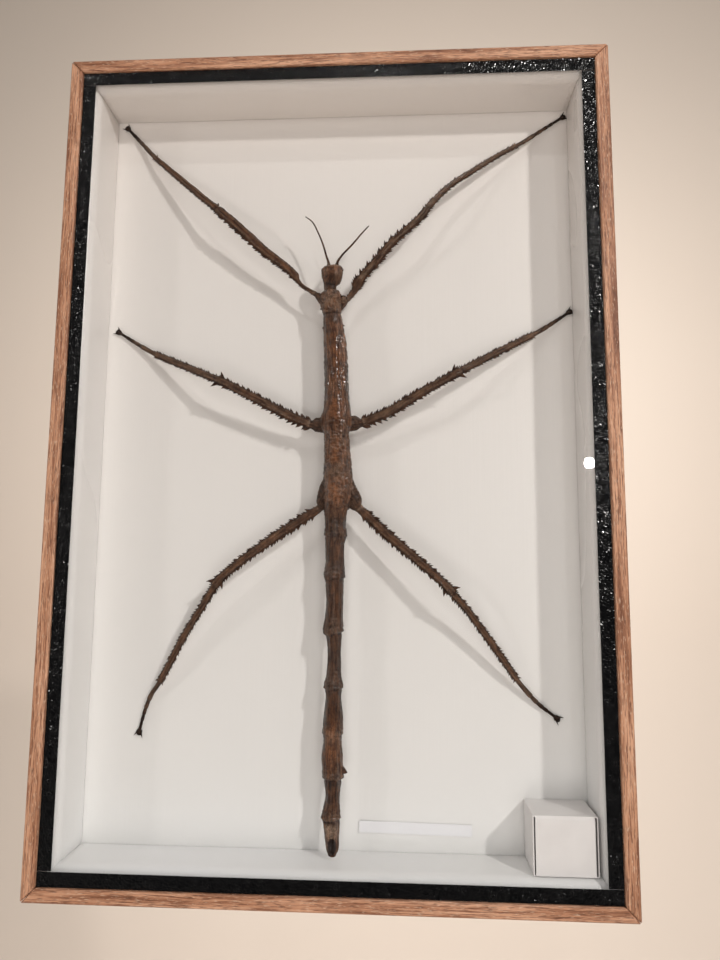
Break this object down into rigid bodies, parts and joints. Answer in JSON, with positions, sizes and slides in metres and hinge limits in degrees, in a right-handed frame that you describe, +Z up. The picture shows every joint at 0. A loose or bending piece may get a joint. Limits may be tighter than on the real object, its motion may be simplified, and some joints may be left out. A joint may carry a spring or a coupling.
{
  "type": "framed stick insect specimen",
  "caption": "Shallow glazed wooden wall case with a large dried stick insect spread on a white panel, with a bare paper label and a small card box.",
  "frame": {"origin": "the notch of the toothed hanger on the back, in the plane of the wall that the case hangs on, 25 mm below the top of the case", "axes": "+Z up, +Y into the wall so that the glass faces -Y, +X to the viewer's right"},
  "size_m": [0.24, 0.038, 0.36],
  "materials": {
    "rail_wood": "open-grained reddish brown wood, thin satin finish",
    "black_tape": "fine ribbed black cloth tape, slight sheen",
    "pane_glass": "clear, polished",
    "white_lining": "white, slightly glossy paper facing",
    "white_panel": "white, matt to satin",
    "hardboard": "brown pressed fibre board, matt",
    "hanger_steel": "thin brass plating",
    "insect_shell": "dark brown dried shell under glossy varnish",
    "insect_leg": "brown dried shell, satin varnish, near-black feet",
    "label_paper": "matt paper, bare",
    "white_card": "matt folded card"
  },
  "bodies": {
    "root": {"frame_rail_top": "rail_wood", "frame_rail_bottom": "rail_wood", "frame_rail_left": "rail_wood", "frame_rail_right": "rail_wood", "tape_top": "black_tape", "tape_bottom": "black_tape", "tape_left": "black_tape", "tape_right": "black_tape", "glass_pane": "pane_glass", "lining_top": "white_lining", "lining_bottom": "white_lining", "lining_left": "white_lining", "lining_right": "white_lining", "back_panel": "white_panel", "back_board": "hardboard", "sawtooth_hanger": "hanger_steel", "hanger_screw_left": "hanger_steel", "hanger_screw_right": "hanger_steel", "insect_body": "insect_shell", "insect_head": "insect_shell", "antenna_left": "insect_leg", "antenna_right": "insect_leg", "front_leg_left": "insect_leg", "front_leg_right": "insect_leg", "middle_leg_left": "insect_leg", "middle_leg_right": "insect_leg", "hind_leg_left": "insect_leg", "hind_leg_right": "insect_leg", "paper_label": "label_paper", "card_box": "white_card"}
  },
  "joints": []
}
